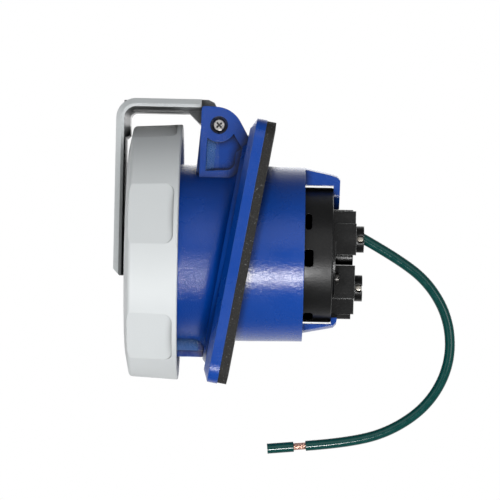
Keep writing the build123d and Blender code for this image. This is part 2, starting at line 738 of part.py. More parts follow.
# Contact sleeves with their terminals, and the spring band on each: one set for each wire
collar_end_x = sleeve_collar_x + sleeve_collar_t
for name in contacts:
    contact_r, contact_y, contact_z, side = contacts[name]
    bore_r = contact_r + sleeve_bore_play
    sleeve_r = bore_r + sleeve_wall
    block_z0 = contact_z - side * terminal_inner_h
    block_z1 = contact_z + side * terminal_outer_h[side]
    with BuildPart() as sleeve:
        rod(carrier_back_x, collar_end_x, sleeve_r, contact_y, contact_z)
        rod(sleeve_collar_x, collar_end_x, sleeve_collar_r, contact_y, contact_z)
        rod(collar_end_x, terminal_front_x, sleeve_shank_r, contact_y, contact_z)
        rod(carrier_back_x, sleeve_slot_end_x + 6, bore_r, contact_y, contact_z, Mode.SUBTRACT)
        block(
            carrier_back_x,
            sleeve_slot_end_x,
            contact_y - sleeve_slot_w / 2,
            contact_y + sleeve_slot_w / 2,
            contact_z - sleeve_collar_r,
            contact_z + sleeve_collar_r,
            Mode.SUBTRACT,
        )
        block(
            terminal_front_x,
            terminal_rear_x,
            contact_y - terminal_half_w,
            contact_y + terminal_half_w,
            block_z0,
            block_z1,
        )
        rod(terminal_rear_x, wire_tube_end_x, wire_tube_r, contact_y, contact_z)
        rod(terminal_front_x + 8, wire_tube_end_x, wire_bore_r, contact_y, contact_z, Mode.SUBTRACT)
        with BuildSketch(Plane.XY.offset(contact_z)):
            with Locations((clamp_screw_x, contact_y)):
                Circle(clamp_screw_r)
        extrude(amount=side * terminal_inner_h, mode=Mode.SUBTRACT)
    finish(sleeve, f"{name}_sleeve")

    with BuildPart() as spring:
        rod(spring_x, spring_x + spring_w, sleeve_r + spring_t, contact_y, contact_z)
        rod(spring_x, spring_x + spring_w, sleeve_r, contact_y, contact_z, Mode.SUBTRACT)
        block(
            spring_x,
            spring_x + spring_w,
            contact_y,
            contact_y + 2 * sleeve_r,
            contact_z - sleeve_slot_w,
            contact_z + sleeve_slot_w,
            Mode.SUBTRACT,
        )
    finish(spring, f"{name}_spring")

# Clamp screws with a socket in the head, and the wire plates that they press on, three alike
# The ground screw is down on its wire, and the line screws are up, clear of the wire bores
with BuildPart() as clamp_screws:
    for name, plate_lift in plate_lifts.items():
        contact_r, contact_y, contact_z, side = contacts[name]
        clamp_z = contact_z + side * (plate_lift + wire_plate_t)
        with BuildSketch(Plane.XY.offset(clamp_z)):
            with Locations((clamp_screw_x, contact_y)):
                Circle(clamp_screw_r)
        extrude(amount=side * clamp_screw_length)
    for name, plate_lift in plate_lifts.items():
        contact_r, contact_y, contact_z, side = contacts[name]
        clamp_top_z = contact_z + side * (plate_lift + wire_plate_t + clamp_screw_length)
        with BuildSketch(Plane.XY.offset(clamp_top_z)):
            with Locations((clamp_screw_x, contact_y)):
                RegularPolygon(clamp_socket_r, 6, major_radius=False)
        extrude(amount=-side * clamp_socket_r * 2, mode=Mode.SUBTRACT)
finish(clamp_screws, "clamp_screws")

with BuildPart() as wire_plates:
    for name, plate_lift in plate_lifts.items():
        contact_r, contact_y, contact_z, side = contacts[name]
        block(
            clamp_screw_x - wire_plate_half_length,
            clamp_screw_x + wire_plate_half_length,
            contact_y - wire_plate_half_w,
            contact_y + wire_plate_half_w,
            contact_z + side * plate_lift,
            contact_z + side * (plate_lift + wire_plate_t),
        )
finish(wire_plates, "wire_plates")

# Recesses in the near side of the drum, as deep as its wall allows
with BuildPart() as drum_recesses:
    for slot_x0, slot_x1, slot_z0, slot_z1 in drum_slots:
        with BuildSketch(Plane.XZ):
            with Locations(((slot_x0 + slot_x1) / 2, (slot_z0 + slot_z1) / 2)):
                RectangleRounded(slot_x1 - slot_x0, slot_z1 - slot_z0, 1.5)
        extrude(amount=drum_r + 1)
    rod(drum_front_x, drum_rear_x, drum_r - drum_slot_depth, mode=Mode.SUBTRACT)

# Terminal body: drum behind the carrier that holds the sleeves, closed by three screws
wall_end_x = drum_rear_x - drum_wall_t + 1
with BuildPart() as terminal_body:
    rod(drum_front_x, drum_rear_x, drum_r)
    fillet(terminal_body.edges().group_by(Axis.X)[-1], drum_edge_r)
    rod(drum_front_x + drum_wall_t, wall_end_x, drum_r - drum_wall_t, mode=Mode.SUBTRACT)
    for name in contacts:
        rod(collar_end_x, drum_front_x + 1, sleeve_collar_r, *contacts[name][1:3])
    for place in cover_screw_places:
        rod(drum_front_x + drum_wall_t - 1, drum_rear_x, post_r, *place)
    for name in contacts:
        contact_r, contact_y, contact_z, side = contacts[name]
        rod(collar_end_x, terminal_front_x, sleeve_shank_r, contact_y, contact_z, Mode.SUBTRACT)
        block(
            wall_end_x,
            drum_rear_x,
            contact_y - terminal_half_w - running_gap,
            contact_y + terminal_half_w + running_gap,
            contact_z - side * (terminal_inner_h + running_gap),
            contact_z + side * (terminal_outer_h[side] + running_gap),
            Mode.SUBTRACT,
        )
    screw_tip_x = drum_rear_x + cover_plate_t - cover_screw_length
    for place in cover_screw_places:
        rod(screw_tip_x, drum_rear_x, cover_screw_r, *place, Mode.SUBTRACT)
    add(drum_recesses.part, mode=Mode.SUBTRACT)
finish(terminal_body, "terminal_body")

# Terminal cover: plate with a tower for each terminal, hub post and wire bosses, one moulding
plate_end_x = drum_rear_x + cover_plate_t
with BuildPart() as terminal_cover:
    rod(drum_rear_x, plate_end_x, cover_plate_r)
    rod(drum_rear_x, hub_post_x, hub_post_r)
    for name in contacts:
        contact_r, contact_y, contact_z, side = contacts[name]
        z_inner = contact_z - side * tower_inner[side]
        z_main = contact_z + side * tower_main[side]
        z_top = contact_z + side * tower_top[side]
        z_lip = contact_z + side * tower_lip[side]
        for x1, narrow, z0, z1 in (
            (tower_rear_x, 0, z_inner, z_main),
            (tower_rear_x - tower_step, tower_step, z_main, z_top),
            (tower_rear_x - 5 * tower_step, 0, z_top, z_lip),
        ):
            block(
                drum_rear_x,
                x1,
                contact_y - tower_half_w + narrow,
                contact_y + tower_half_w - narrow,
                z0,
                z1,
            )
        rod(tower_rear_x, boss_rear_x, boss_r, contact_y, contact_z)
    for name in contacts:
        contact_r, contact_y, contact_z, side = contacts[name]
        z_inner = contact_z - side * tower_inner[side]
        z_main = contact_z + side * tower_main[side]
        z_lip = contact_z + side * tower_lip[side]
        block(
            drum_rear_x,
            tower_rear_x - tower_wall,
            contact_y - tower_half_w + tower_wall,
            contact_y + tower_half_w - tower_wall,
            z_inner + side * tower_wall,
            z_main - side * tower_wall,
            Mode.SUBTRACT,
        )
        rod(terminal_rear_x, boss_rear_x, boss_bore_r, contact_y, contact_z, Mode.SUBTRACT)
        with BuildSketch(Plane.XY.offset(z_main - side * tower_wall)):
            with Locations((clamp_screw_x, contact_y)):
                Circle(clamp_screw_r + 0.7)
        extrude(amount=z_lip - z_main + side * tower_wall, mode=Mode.SUBTRACT)
        cross_rod(boss_window_x, contact_z, boss_window_r, contact_y, contact_y - boss_r, Mode.SUBTRACT)
    for place in cover_screw_places:
        rod(drum_rear_x, plate_end_x, cover_screw_r + 0.2, *place, Mode.SUBTRACT)
finish(terminal_cover, "terminal_cover")

# Cover screws, three alike
with BuildPart() as cover_screws:
    for place in cover_screw_places:
        rod(screw_tip_x, plate_end_x, cover_screw_r, *place)
        rod(plate_end_x, plate_end_x + cover_screw_head_t, cover_screw_head_r, *place)
    for screw_y, screw_z in cover_screw_places:
        with BuildSketch(across(plate_end_x + cover_screw_head_t)):
            with Locations((screw_y, screw_z)):
                Rectangle(2 * cover_screw_head_r, 0.8)
        extrude(amount=-0.8, mode=Mode.SUBTRACT)
finish(cover_screws, "cover_screws")

# Ground lead: one solid insulation that follows the route in tangent arcs
lead_y = -upper_contact_y
lead_radii = []
for before, here, after in zip(lead_points, lead_points[1:], lead_points[2:]):
    run_in = hypot(here[0] - before[0], here[1] - before[1])
    run_out = hypot(after[0] - here[0], after[1] - here[1])
    turn = atan2(after[1] - here[1], after[0] - here[0]) - atan2(here[1] - before[1], here[0] - before[0])
    turn = abs((turn + pi) % (2 * pi) - pi)
    lead_radii.append(lead_bend * min(run_in, run_out) / tan(turn / 2))
print("lead bend radii", [round(radius, 1) for radius in lead_radii])
with BuildPart() as ground_lead_insulation:
    with BuildLine() as lead_path:
        FilletPolyline(*[(x, lead_y, z) for x, z in lead_points], radius=lead_radii)
    with BuildSketch(Plane(origin=lead_path.wire() @ 0, z_dir=lead_path.wire() % 0)):
        Circle(lead_r)
    sweep()
lead_length = lead_path.wire().length
lead_volume = ground_lead_insulation.part.volume
print("lead length", round(lead_length, 1))
print("lead volume against section x length", round(lead_volume / (pi * lead_r**2 * lead_length), 4))
finish(ground_lead_insulation, "ground_lead_insulation")

# Strands: the end held in the ground terminal, and the bare stretch before the slug
lead_end = lead_path.wire() @ 1
lead_way = lead_path.wire() % 1
with BuildPart() as ground_lead_conductor:
    rod(wire_end_x, wire_stop_x, strand_r, lead_y, contacts["ground"][2])
    with BuildSketch(Plane(origin=lead_end, z_dir=lead_way)):
        Circle(strand_r)
    extrude(amount=bare_length)
finish(ground_lead_conductor, "ground_lead_conductor")

# Slug of insulation left on the end of the strands
with BuildPart() as lead_insulation_slug:
    with BuildSketch(Plane(origin=lead_end + lead_way * bare_length, z_dir=lead_way)):
        Circle(lead_r)
    extrude(amount=slug_length)
finish(lead_insulation_slug, "lead_insulation_slug")
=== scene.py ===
import math
import bpy
from mathutils import Matrix, Vector


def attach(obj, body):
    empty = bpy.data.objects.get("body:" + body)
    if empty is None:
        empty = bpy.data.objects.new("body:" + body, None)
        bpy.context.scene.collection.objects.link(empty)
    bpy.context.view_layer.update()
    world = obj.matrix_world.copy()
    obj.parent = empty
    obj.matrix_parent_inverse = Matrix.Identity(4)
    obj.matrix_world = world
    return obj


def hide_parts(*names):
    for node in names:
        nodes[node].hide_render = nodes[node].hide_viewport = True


# Looks of the pin and sleeve receptacle. All lengths are in metres, in the frame of the CAD model.
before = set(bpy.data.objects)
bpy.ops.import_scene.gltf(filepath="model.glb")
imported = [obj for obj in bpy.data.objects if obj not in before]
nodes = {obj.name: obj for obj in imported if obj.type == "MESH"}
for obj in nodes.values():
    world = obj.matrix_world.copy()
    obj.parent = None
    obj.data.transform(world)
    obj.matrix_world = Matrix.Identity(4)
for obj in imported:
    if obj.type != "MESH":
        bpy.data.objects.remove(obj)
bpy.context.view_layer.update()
scene = bpy.context.scene

# Camera: a long lens square to the side of the receptacle, level with the barrel axis and rolled a
# little. One picture point is 0.535 mm at the axis, and the shift gives the photograph's framing.
photo_px = 500
photo_scale = 0.000535
photo_distance_px = 3500
photo_roll = math.radians(1.2)
photo_shift_px = -12
sensor_w = 36
camera_aim = Vector((0.00552, 0, 0.00199))
camera_place = camera_aim - Vector((0, photo_distance_px * photo_scale, 0))
camera_turn = Matrix((
    (math.cos(photo_roll), -math.sin(photo_roll), 0),
    (0, 0, -1),
    (math.sin(photo_roll), math.cos(photo_roll), 0),
)).to_4x4()
camera_data = bpy.data.cameras.new("camera")
camera_data.sensor_width = sensor_w
camera_data.lens = sensor_w * photo_distance_px / photo_px
camera_data.shift_x = photo_shift_px / photo_px
camera_data.clip_end = 50
camera = bpy.data.objects.new("camera", camera_data)
camera.matrix_world = Matrix.Translation(camera_place) @ camera_turn
scene.collection.objects.link(camera)
scene.camera = camera

# Studio: a dim soft world, and white all round for the camera. Gloss and glass see the white too,
# but only behind the object, where such a backdrop would stand.
backdrop_from, backdrop_to = 0.30, 0.70
soft_colour = (0.95, 0.97, 1, 1)
soft_strength = 0.20
backdrop_colour = (1, 1, 1, 1)
backdrop_strength = 1
world = bpy.data.worlds.new("studio")
scene.world = world
world.use_nodes = True
tree = world.node_tree
tree.nodes.clear()
output = tree.nodes.new("ShaderNodeOutputWorld")
mix = tree.nodes.new("ShaderNodeMixShader")
ray = tree.nodes.new("ShaderNodeLightPath")
direction = tree.nodes.new("ShaderNodeTexCoord")
axes = tree.nodes.new("ShaderNodeSeparateXYZ")
behind = tree.nodes.new("ShaderNodeMapRange")
behind.inputs["From Min"].default_value = backdrop_from
behind.inputs["From Max"].default_value = backdrop_to
gloss = tree.nodes.new("ShaderNodeMath")
gloss.operation = "MAXIMUM"
gloss_behind = tree.nodes.new("ShaderNodeMath")
gloss_behind.operation = "MULTIPLY"
seen = tree.nodes.new("ShaderNodeMath")
seen.operation = "MAXIMUM"
soft = tree.nodes.new("ShaderNodeBackground")
soft.inputs["Color"].default_value = soft_colour
soft.inputs["Strength"].default_value = soft_strength
white = tree.nodes.new("ShaderNodeBackground")
white.inputs["Color"].default_value = backdrop_colour
white.inputs["Strength"].default_value = backdrop_strength
tree.links.new(direction.outputs["Generated"], axes.inputs[0])
tree.links.new(axes.outputs["Y"], behind.inputs["Value"])
tree.links.new(ray.outputs["Is Glossy Ray"], gloss.inputs[0])
tree.links.new(ray.outputs["Is Transmission Ray"], gloss.inputs[1])
tree.links.new(gloss.outputs[0], gloss_behind.inputs[0])
tree.links.new(behind.outputs[0], gloss_behind.inputs[1])
tree.links.new(gloss_behind.outputs[0], seen.inputs[0])
tree.links.new(ray.outputs["Is Camera Ray"], seen.inputs[1])
tree.links.new(seen.outputs[0], mix.inputs["Fac"])
tree.links.new(soft.outputs[0], mix.inputs[1])
tree.links.new(white.outputs[0], mix.inputs[2])
tree.links.new(mix.outputs[0], output.inputs["Surface"])
scene.view_settings.view_transform = "Standard"

# Lights: a small bright one low in front, which makes the streak along the barrel, and soft boxes on
# every side. Those behind give the sides that the photograph doesn't show a plain soft light.
studio_lights = (
    ("low_key", (0.03, -1.04, -0.61), 0.20, 0.16, 8.6),
    ("soft_left", (-0.75, -1.15, -0.05), 0.60, 0.60, 0.8),
    ("soft_right", (0.80, -1.15, 0.05), 0.60, 0.60, 3.4),
    ("soft_top", (0.10, -1.30, 0.66), 2.00, 1.00, 4.8),
    ("soft_back", (0.30, 1.50, 0.45), 2.40, 1.20, 12.0),
    ("soft_front_end", (-1.60, 0.50, 0.25), 1.20, 1.20, 5.0),
)
for name, place, size, height, power in studio_lights:
    light_data = bpy.data.lights.new(name, "AREA")
    light_data.shape = "RECTANGLE"
    light_data.size = size
    light_data.size_y = height
    light_data.energy = power
    light = bpy.data.objects.new(name, light_data)
    light.location = place
    light.rotation_euler = (-Vector(place)).to_track_quat("-Z", "Y").to_euler()
    scene.collection.objects.link(light)

# Floor: a pale matt sheet well below the receptacle, which stands out from a panel in use. Neither the
# camera nor gloss sees it, so the white all round stays even.
floor_z = -1.1
floor_half = 2.3
floor_shift = -1.7
floor_colour = (0.86, 0.86, 0.85, 1)
floor_rough = 0.6
floor_mesh = bpy.data.meshes.new("floor")
floor_corners = ((-1, -1), (1, -1), (1, 1), (-1, 1))
floor_points = [(x * floor_half, y * floor_half + floor_shift, floor_z) for x, y in floor_corners]
floor_mesh.from_pydata(floor_points, [], [(0, 1, 2, 3)])
floor = bpy.data.objects.new("floor", floor_mesh)
scene.collection.objects.link(floor)
floor_paint = bpy.data.materials.new("floor_paint")
floor_paint.use_nodes = True
floor_shader = floor_paint.node_tree.nodes["Principled BSDF"]
floor_shader.inputs["Base Color"].default_value = floor_colour
floor_shader.inputs["Roughness"].default_value = floor_rough
floor_mesh.materials.append(floor_paint)
floor.visible_camera = False
floor.visible_glossy = False

# Ground lead: dark green PVC with a soft gloss, extruded over the strands. It leaves the near terminal,
# where a clamp screw holds its strands, and bows down to its stripped end. Its spline has the points of
# the route in the CAD model.
lead_r = 0.00275
lead_y = -0.015069
lead_route = (
    (0.0580, 0.0097), (0.0770, -0.0005), (0.0950, -0.0140), (0.1060, -0.0340), (0.1065, -0.0570),
    (0.0960, -0.0780), (0.0765, -0.0925), (0.0540, -0.0992), (0.0308, -0.1014),
)
lead_curve = bpy.data.curves.new("ground_lead", "CURVE")
lead_curve.dimensions = "3D"
lead_spline = lead_curve.splines.new("NURBS")
lead_spline.points.add(len(lead_route) - 1)
for point, (x, z) in zip(lead_spline.points, lead_route):
    point.co = (x, lead_y, z, 1)
lead_spline.order_u = 3
lead_spline.use_endpoint_u = True
lead_spline.resolution_u = 16
lead_curve.bevel_depth = lead_r
lead_curve.bevel_resolution = 8
lead_curve.use_fill_caps = True
lead = bpy.data.objects.new("ground_lead", lead_curve)
scene.collection.objects.link(lead)

# The surface that the mouldings and the metal pieces share, each with its own values: colour that
# drifts a little in patches, darkened in crevices by painted shade and paler on edges, partly as wear
# and partly as painted highlight, with a fine grain over slower ripples
moulded_inputs = {
    "Colour": (0.5, 0.5, 0.5), "Patch Colour": (0.4, 0.4, 0.4), "Patch Size": 60, "Patch Amount": 0.3,
    "Edge Colour": (0.6, 0.6, 0.6), "Edge Amount": 0, "Edge": 0.0004, "Crevice": 1, "Crevice Reach": 0.003,
    "Grain Size": 1200, "Grain Depth": 0.2, "Ripple Size": 200, "Ripple Depth": 0,
}
moulded_outputs = {"Colour": "NodeSocketColor", "Rough": "NodeSocketFloat", "Normal": "NodeSocketVector"}
patch_from, patch_to = 0.42, 0.68
edge_from, edge_to = 0.99, 0.80
ripple_height = 0.0004
grain_height = 0.0003
rough_from, rough_to = 0.3, 0.7
rough_lower, rough_higher = -0.05, 0.08
moulded = bpy.data.node_groups.new("moulded_surface", "ShaderNodeTree")
for label, value in moulded_inputs.items():
    kind = "NodeSocketFloat" if isinstance(value, (int, float)) else "NodeSocketColor"
    socket = moulded.interface.new_socket(label, in_out="INPUT", socket_type=kind)
    socket.default_value = value if isinstance(value, (int, float)) else (*value, 1)
for label, kind in moulded_outputs.items():
    moulded.interface.new_socket(label, in_out="OUTPUT", socket_type=kind)
group_in = moulded.nodes.new("NodeGroupInput")
group_out = moulded.nodes.new("NodeGroupOutput")

# Patches of the second colour
moulded_place = moulded.nodes.new("ShaderNodeTexCoord")
patches = moulded.nodes.new("ShaderNodeTexNoise")
patches.inputs["Detail"].default_value = 5
moulded.links.new(moulded_place.outputs["Object"], patches.inputs["Vector"])
moulded.links.new(group_in.outputs["Patch Size"], patches.inputs["Scale"])
patch_fac = moulded.nodes.new("ShaderNodeMapRange")
patch_fac.inputs["From Min"].default_value = patch_from
patch_fac.inputs["From Max"].default_value = patch_to
moulded.links.new(patches.outputs["Fac"], patch_fac.inputs["Value"])
moulded.links.new(group_in.outputs["Patch Amount"], patch_fac.inputs["To Max"])
blend = moulded.nodes.new("ShaderNodeMix")
blend.data_type = "RGBA"
moulded.links.new(patch_fac.outputs[0], blend.inputs["Factor"])
moulded.links.new(group_in.outputs["Colour"], blend.inputs[6])
moulded.links.new(group_in.outputs["Patch Colour"], blend.inputs[7])

# Edges, where the rounded normal parts from the true one, turn paler: partly wear, partly painted highlight
edge = moulded.nodes.new("ShaderNodeBevel")
edge.samples = 6
moulded.links.new(group_in.outputs["Edge"], edge.inputs["Radius"])
true_face = moulded.nodes.new("ShaderNodeNewGeometry")
agree = moulded.nodes.new("ShaderNodeVectorMath")
agree.operation = "DOT_PRODUCT"
moulded.links.new(edge.outputs[0], agree.inputs[0])
moulded.links.new(true_face.outputs["Normal"], agree.inputs[1])
edge_fac = moulded.nodes.new("ShaderNodeMapRange")
edge_fac.inputs["From Min"].default_value = edge_from
edge_fac.inputs["From Max"].default_value = edge_to
moulded.links.new(agree.outputs["Value"], edge_fac.inputs["Value"])
moulded.links.new(group_in.outputs["Edge Amount"], edge_fac.inputs["To Max"])
edge_wear_and_highlight = moulded.nodes.new("ShaderNodeMix")
edge_wear_and_highlight.data_type = "RGBA"
moulded.links.new(edge_fac.outputs[0], edge_wear_and_highlight.inputs["Factor"])
moulded.links.new(blend.outputs[2], edge_wear_and_highlight.inputs[6])
moulded.links.new(group_in.outputs["Edge Colour"], edge_wear_and_highlight.inputs[7])

# Painted shade: crevices, where little of the surroundings reaches the surface, are darkened
painted_shade = moulded.nodes.new("ShaderNodeAmbientOcclusion")
painted_shade.samples = 6
moulded.links.new(group_in.outputs["Crevice Reach"], painted_shade.inputs["Distance"])
shade_depth = moulded.nodes.new("ShaderNodeMath")
shade_depth.operation = "POWER"
moulded.links.new(painted_shade.outputs["AO"], shade_depth.inputs[0])
moulded.links.new(group_in.outputs["Crevice"], shade_depth.inputs[1])
shade = moulded.nodes.new("ShaderNodeMix")
shade.data_type = "RGBA"
shade.blend_type = "MULTIPLY"
shade.inputs["Factor"].default_value = 1
moulded.links.new(edge_wear_and_highlight.outputs[2], shade.inputs[6])
moulded.links.new(shade_depth.outputs[0], shade.inputs[7])
moulded.links.new(shade.outputs[2], group_out.inputs["Colour"])

# Ripples, and the grain on them
ripple = moulded.nodes.new("ShaderNodeTexNoise")
ripple.inputs["Detail"].default_value = 4
ripple.inputs["Roughness"].default_value = 0.62
moulded.links.new(moulded_place.outputs["Object"], ripple.inputs["Vector"])
moulded.links.new(group_in.outputs["Ripple Size"], ripple.inputs["Scale"])
ripple_bump = moulded.nodes.new("ShaderNodeBump")
ripple_bump.inputs["Distance"].default_value = ripple_height
moulded.links.new(group_in.outputs["Ripple Depth"], ripple_bump.inputs["Strength"])
moulded.links.new(ripple.outputs["Fac"], ripple_bump.inputs["Height"])
moulded.links.new(edge.outputs[0], ripple_bump.inputs["Normal"])
grain = moulded.nodes.new("ShaderNodeTexNoise")
grain.inputs["Detail"].default_value = 2
moulded.links.new(moulded_place.outputs["Object"], grain.inputs["Vector"])
moulded.links.new(group_in.outputs["Grain Size"], grain.inputs["Scale"])
bump = moulded.nodes.new("ShaderNodeBump")
bump.inputs["Distance"].default_value = grain_height
moulded.links.new(group_in.outputs["Grain Depth"], bump.inputs["Strength"])
moulded.links.new(grain.outputs["Fac"], bump.inputs["Height"])
moulded.links.new(ripple_bump.outputs[0], bump.inputs["Normal"])
moulded.links.new(bump.outputs[0], group_out.inputs["Normal"])

# Roughness that follows the patches
rough = moulded.nodes.new("ShaderNodeMapRange")
rough.inputs["From Min"].default_value = rough_from
rough.inputs["From Max"].default_value = rough_to
rough.inputs["To Min"].default_value = rough_lower
rough.inputs["To Max"].default_value = rough_higher
moulded.links.new(patches.outputs["Fac"], rough.inputs["Value"])
moulded.links.new(rough.outputs[0], group_out.inputs["Rough"])


def moulded_material(name, roughness, metallic=0.0, specular=0.5, tint=(1, 1, 1), **sockets):
    """A material whose colour, roughness and normal come from the moulded surface group, with its painted
    shade in crevices and its paler edges.
    """
    material = bpy.data.materials.new(name)
    material.use_nodes = True
    tree = material.node_tree
    shader = tree.nodes["Principled BSDF"]
    shader.inputs["Metallic"].default_value = metallic
    shader.inputs["Specular IOR Level"].default_value = specular
    shader.inputs["Specular Tint"].default_value = (*tint, 1)
    surface = tree.nodes.new("ShaderNodeGroup")
    surface.name = "surface"
    surface.node_tree = moulded
    for label, value in sockets.items():
        socket = surface.inputs[label.replace("_", " ")]
        socket.default_value = value if isinstance(value, (int, float)) else (*value, 1)
    tree.links.new(surface.outputs["Colour"], shader.inputs["Base Color"])
    add = tree.nodes.new("ShaderNodeMath")
    add.name = "roughness"
    add.inputs[1].default_value = roughness
    tree.links.new(surface.outputs["Rough"], add.inputs[0])
    tree.links.new(add.outputs[0], shader.inputs["Roughness"])
    tree.links.new(surface.outputs["Normal"], shader.inputs["Normal"])
    return material


lead_green = moulded_material(
    "lead_green", 0.17, specular=0.38, Colour=(0.001, 0.050, 0.044), Patch_Colour=(0.003, 0.072, 0.064),
    Patch_Size=420, Patch_Amount=0.5, Grain_Size=1500, Grain_Depth=0.04, Ripple_Size=500,
    Ripple_Depth=0.06, Edge=0.0001, Crevice=0.6,
)
lead_curve.materials.append(lead_green)
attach(lead, "receptacle")
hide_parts("ground_lead_insulation")

# Slug of insulation: a short end of the same green PVC, cut round and left on the tip of the strands,
# which it keeps together until the lead is fitted
nodes["lead_insulation_slug"].data.materials[0] = lead_green

# Strands: nineteen bare copper wires, drawn and twisted, two rings of them about a core. They are seen
# between the insulation and its slug, and where they enter the terminal under the clamp screw.
strand_r = 0.00037
strand_rings = ((1, 0.0), (6, 0.00076), (12, 0.00150))
strand_lay = 0.024
strand_steps = 10
strand_lap = 0.0006
bare_length = 0.0064
terminal_z = 0.0087
terminal_from_x, terminal_to_x = 0.0400, 0.0572
last, end = (Vector((x, lead_y, z)) for x, z in lead_route[-2:])
lead_way = (end - last).normalized()
strand_runs = (
    (Vector((terminal_from_x, lead_y, terminal_z)), Vector((terminal_to_x, lead_y, terminal_z))),
    (end - strand_lap * lead_way, end + (bare_length + strand_lap) * lead_way),
)
strand_curve = bpy.data.curves.new("ground_lead_strands", "CURVE")
strand_curve.dimensions = "3D"
strand_curve.bevel_depth = strand_r
strand_curve.bevel_resolution = 2
strand_curve.use_fill_caps = True
for start, stop in strand_runs:
    way = (stop - start).normalized()
    across = Vector((0, 1, 0))
    over = way.cross(across)
    for count, ring_r in strand_rings:
        for strand in range(count):
            spline = strand_curve.splines.new("POLY")
            spline.points.add(strand_steps)
            for step, point in enumerate(spline.points):
                gone = (stop - start).length * step / strand_steps
                turn = 2 * math.pi * (strand / count + gone / strand_lay)
                spot = start + gone * way + ring_r * (math.cos(turn) * across + math.sin(turn) * over)
                point.co = (*spot, 1)
strands = bpy.data.objects.new("ground_lead_strands", strand_curve)
scene.collection.objects.link(strands)
strand_curve.materials.append(moulded_material(
    "copper", 0.30, metallic=1.0, Colour=(0.90, 0.56, 0.45), Patch_Colour=(0.60, 0.30, 0.20),
    Patch_Size=1400, Patch_Amount=0.7, Grain_Size=4000, Grain_Depth=0.2, Edge=0.0001, Crevice=1.4,
    Crevice_Reach=0.0006,
))
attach(strands, "receptacle")
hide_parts("ground_lead_conductor")

# Housing: one blue moulding in glass-filled nylon, screwed to its panel through the leaning flange. It
# is spark-grained in front of the flange, and smoother and glossier with faint ripples on the barrel
# behind it. The ears' sunk strips and the sides of the keyway ridge are coarse.
housing_colour = (0.0004, 0.053, 0.335)
coarse_colour = (0.060, 0.165, 0.44)
flange_lean = math.radians(9.7)
flange_from, flange_to = -0.0136, -0.0128
front_grain, barrel_grain = 0.75, 0.16
ear_floor_grain = 0.05
coarse_grain = 2.4
front_ripple, barrel_ripple = 0.03, 0.40
front_rough, barrel_rough = 0.21, 0.25
ear_strip_box = ((-0.0225, 0.02358, 0.052), (0.0042, 0.00092, 0.012))
ear_floor_box = ((-0.0160, 0.02230, 0.052), (0.0110, 0.00035, 0.012))
ridge_side_box = ((-0.0400, 0.00600, -0.0495), (0.0125, 0.00040, 0.0034))
mask_blur = 0.0001


def box_mask(tree, vector, centre, half):
    """A socket that is 1 inside a box and 0 outside it."""
    shifted = tree.nodes.new("ShaderNodeVectorMath")
    shifted.operation = "SUBTRACT"
    shifted.inputs[1].default_value = centre
    away = tree.nodes.new("ShaderNodeVectorMath")
    away.operation = "ABSOLUTE"
    past = tree.nodes.new("ShaderNodeVectorMath")
    past.operation = "SUBTRACT"
    past.inputs[1].default_value = half
    parts = tree.nodes.new("ShaderNodeSeparateXYZ")
    tree.links.new(vector, shifted.inputs[0])
    tree.links.new(shifted.outputs[0], away.inputs[0])
    tree.links.new(away.outputs[0], past.inputs[0])
    tree.links.new(past.outputs[0], parts.inputs[0])
    farthest = parts.outputs["X"]
    for axis in ("Y", "Z"):
        larger = tree.nodes.new("ShaderNodeMath")
        larger.operation = "MAXIMUM"
        tree.links.new(farthest, larger.inputs[0])
        tree.links.new(parts.outputs[axis], larger.inputs[1])
        farthest = larger.outputs[0]
    inside = tree.nodes.new("ShaderNodeMapRange")
    inside.inputs["From Min"].default_value = mask_blur
    inside.inputs["From Max"].default_value = -mask_blur
    tree.links.new(farthest, inside.inputs["Value"])
    return inside.outputs[0]


def mixed(tree, mask, low, high):
    """A socket that goes from one value or socket to another by a mask."""
    blend = tree.nodes.new("ShaderNodeMix")
    tree.links.new(mask, blend.inputs[0])
    sockets = blend.inputs[2:4]
    if isinstance(high, tuple):
        blend.data_type = "RGBA"
        sockets = blend.inputs[6:8]
    for socket, value in zip(sockets, (low, high)):
        if isinstance(value, tuple):
            socket.default_value = (*value, 1)
        elif isinstance(value, float):
            socket.default_value = value
        else:
            tree.links.new(value, socket)
    return blend.outputs[2] if isinstance(high, tuple) else blend.outputs[0]


# The housing's paler edges are painted highlight, and its darker crevices are painted shade.
housing_blue = moulded_material(
    "housing_blue", 0.0, specular=0.50, tint=(1, 0.97, 0.91), Patch_Size=40, Patch_Amount=0.4,
    Patch_Colour=(0.001, 0.060, 0.36), Edge_Colour=(0.07, 0.20, 0.56), Edge_Amount=0.35, Edge=0.0005,
    Grain_Size=1700, Ripple_Size=520, Crevice=1.9, Crevice_Reach=0.0045,
)
tree = housing_blue.node_tree
surface = tree.nodes["surface"]
shape = tree.nodes.new("ShaderNodeTexCoord").outputs["Object"]

# Along the leaning flange's own axis, the change from grained front to smooth barrel
lean = tree.nodes.new("ShaderNodeVectorMath")
lean.operation = "DOT_PRODUCT"
lean.inputs[1].default_value = (math.cos(flange_lean), 0, -math.sin(flange_lean))
tree.links.new(shape, lean.inputs[0])
behind_flange = tree.nodes.new("ShaderNodeMapRange")
behind_flange.inputs["From Min"].default_value = flange_from
behind_flange.inputs["From Max"].default_value = flange_to
tree.links.new(lean.outputs["Value"], behind_flange.inputs["Value"])
barrel = behind_flange.outputs[0]

